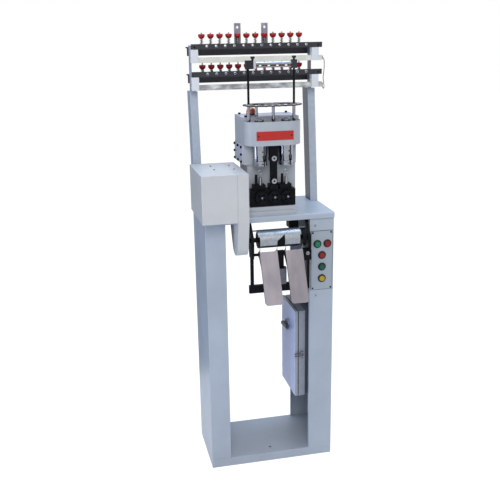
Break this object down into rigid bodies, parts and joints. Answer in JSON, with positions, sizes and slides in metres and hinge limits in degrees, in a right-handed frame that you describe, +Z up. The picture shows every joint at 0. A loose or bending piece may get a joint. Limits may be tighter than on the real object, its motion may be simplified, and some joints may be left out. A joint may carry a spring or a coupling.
{
  "type": "braiding machine",
  "caption": "Free-standing twin-head cord braiding machine with thread creel, belt drive, take-down drum, chutes and control panel.",
  "frame": {"origin": "middle of the base's underside, on the floor", "axes": "+Z up, -Y towards the operator at the front, +X to the operator's right"},
  "size_m": [0.5037, 0.4228, 1.593],
  "materials": {
    "stand_paint": "satin light bluish grey paint",
    "box_paint": "satin light grey paint",
    "head_paint": "satin grey paint on a casting",
    "black_metal": "black satin",
    "galvanised": "galvanised sheet",
    "chrome": "polished",
    "steel": "brushed",
    "stainless": "bright sheet",
    "red_plastic": "gloss red",
    "ceramic": "glazed white ceramic",
    "amber": "amber lens",
    "black_plastic": "matte black",
    "belt_rubber": "matte",
    "red_plate": "gloss red enamel",
    "panel_metal": "satin",
    "green_cap": "gloss",
    "red_cap": "gloss",
    "orange_cap": "gloss",
    "dark_green_cap": "gloss",
    "yellow_cap": "gloss",
    "motor_paint": "matte grey blue"
  },
  "bodies": {
    "machine": {"base_tray": "stand_paint", "left_column": "stand_paint", "right_column": "stand_paint", "table_top": "stand_paint", "creel_posts": "stand_paint", "side_plates": "stand_paint", "end_blocks": "box_paint", "guide_bars": "black_metal", "guide_eyelets": "ceramic", "tension_bars": "black_metal", "tension_pins": "steel", "tension_springs": "steel", "tension_knobs": "red_plastic", "stop_tubes": "galvanised", "stop_wire": "black_plastic", "guide_rods": "black_metal", "rod_clamps": "black_metal", "cross_rods": "chrome", "guide_plate": "steel", "guide_posts": "chrome", "lamp_base": "black_plastic", "lamp_dome": "amber", "head_casting": "head_paint", "head_housing": "head_paint", "head_cover": "head_paint", "side_cover": "head_paint", "name_plate": "red_plate", "cylinder_sleeves": "chrome", "centre_bracket": "black_metal", "takeup_block": "black_metal", "thread_hooks": "chrome", "motor_box": "box_paint", "belt_guard": "box_paint", "motor": "motor_paint", "drive_belt": "belt_rubber", "drum_hood": "galvanised", "left_chute": "stainless", "right_chute": "stainless", "takedown_frame": "black_metal", "control_panel": "panel_metal", "button_bezels": "black_plastic", "cabinet_body": "box_paint", "socket_screws": "black_metal"},
    "drum": {"takedown_drum": "black_metal"},
    "drive": {"drive_shaft": "steel"},
    "cylinder_left": {"left_cylinder": "chrome"},
    "cylinder_right": {"right_cylinder": "chrome"},
    "gear_left": {"left_gear": "black_metal"},
    "gear_centre": {"centre_gear": "black_metal"},
    "gear_right": {"right_gear": "black_metal"},
    "start": {"start_button": "green_cap"},
    "stop": {"stop_button": "red_cap"},
    "reset": {"reset_button": "orange_cap"},
    "run": {"run_button": "dark_green_cap"},
    "jog": {"jog_button": "yellow_cap"},
    "door": {"cabinet_door": "box_paint"},
    "switch": {"switch_handle": "black_plastic"},
    "latch": {"door_latch": "steel"},
    "thumb_left": {"left_thumb_screw": "black_plastic"},
    "thumb_right": {"right_thumb_screw": "black_plastic"}
  },
  "joints": [
    {"name": "drum_spin", "type": "hinge", "parent": "machine", "child": "drum", "pos_m": [0.02, -0.138, 0.872], "axis": [1, 0, 0], "continuous": true},
    {"name": "drive_spin", "type": "hinge", "parent": "machine", "child": "drive", "pos_m": [-0.11, -0.055, 1.045], "axis": [1, 0, 0], "continuous": true},
    {"name": "left_cylinder_spin", "type": "hinge", "parent": "machine", "child": "cylinder_left", "pos_m": [-0.02793, -0.0995, 1.19], "axis": [0, 0, 1], "continuous": true},
    {"name": "right_cylinder_spin", "type": "hinge", "parent": "machine", "child": "cylinder_right", "pos_m": [0.06407, -0.0995, 1.19], "axis": [0, 0, 1], "continuous": true},
    {"name": "left_gear_spin", "type": "hinge", "parent": "machine", "child": "gear_left", "pos_m": [-0.02793, -0.12, 1.016], "axis": [0, 1, 0], "continuous": true},
    {"name": "centre_gear_spin", "type": "hinge", "parent": "machine", "child": "gear_centre", "pos_m": [0.01807, -0.12, 1.016], "axis": [0, 1, 0], "continuous": true},
    {"name": "right_gear_spin", "type": "hinge", "parent": "machine", "child": "gear_right", "pos_m": [0.06407, -0.12, 1.016], "axis": [0, 1, 0], "continuous": true},
    {"name": "start_press", "type": "slide", "parent": "machine", "child": "start", "axis": [0, 1, 0], "range_m": [0, 0.003], "stiffness_N_per_m": 400},
    {"name": "stop_press", "type": "slide", "parent": "machine", "child": "stop", "axis": [0, 1, 0], "range_m": [0, 0.003], "stiffness_N_per_m": 400},
    {"name": "reset_press", "type": "slide", "parent": "machine", "child": "reset", "axis": [0, 1, 0], "range_m": [0, 0.003], "stiffness_N_per_m": 400},
    {"name": "run_press", "type": "slide", "parent": "machine", "child": "run", "axis": [0, 1, 0], "range_m": [0, 0.003], "stiffness_N_per_m": 400},
    {"name": "jog_press", "type": "slide", "parent": "machine", "child": "jog", "axis": [0, 1, 0], "range_m": [0, 0.003], "stiffness_N_per_m": 400},
    {"name": "door_swing", "type": "hinge", "parent": "machine", "child": "door", "pos_m": [0.1025, 0.089, 0.41], "axis": [0, 0, -1], "range_deg": [0, 110]},
    {"name": "switch_turn", "type": "hinge", "parent": "door", "child": "switch", "pos_m": [0.09, -0.003, 0.4933], "axis": [-1, 0, 0], "range_deg": [0, 90]},
    {"name": "latch_swing", "type": "hinge", "parent": "machine", "child": "latch", "pos_m": [0.123, -0.106, 0.41], "axis": [0, 0, 1], "range_deg": [0, 90]},
    {"name": "left_thumb_turn", "type": "hinge", "parent": "machine", "child": "thumb_left", "pos_m": [-0.044, -0.0805, 1.48], "axis": [0, 0, 1], "continuous": true},
    {"name": "right_thumb_turn", "type": "hinge", "parent": "machine", "child": "thumb_right", "pos_m": [0.098, -0.0805, 1.48], "axis": [0, 0, 1], "continuous": true}
  ],
  "couplings": [
    {"joint": "drive_spin", "follows": "drum_spin", "ratio": 1.2667},
    {"joint": "left_cylinder_spin", "follows": "drum_spin", "ratio": 1.5},
    {"joint": "right_cylinder_spin", "follows": "drum_spin", "ratio": -1.5},
    {"joint": "centre_gear_spin", "follows": "drum_spin", "ratio": 0.5},
    {"joint": "left_gear_spin", "follows": "drum_spin", "ratio": -0.5},
    {"joint": "right_gear_spin", "follows": "drum_spin", "ratio": -0.5}
  ]
}
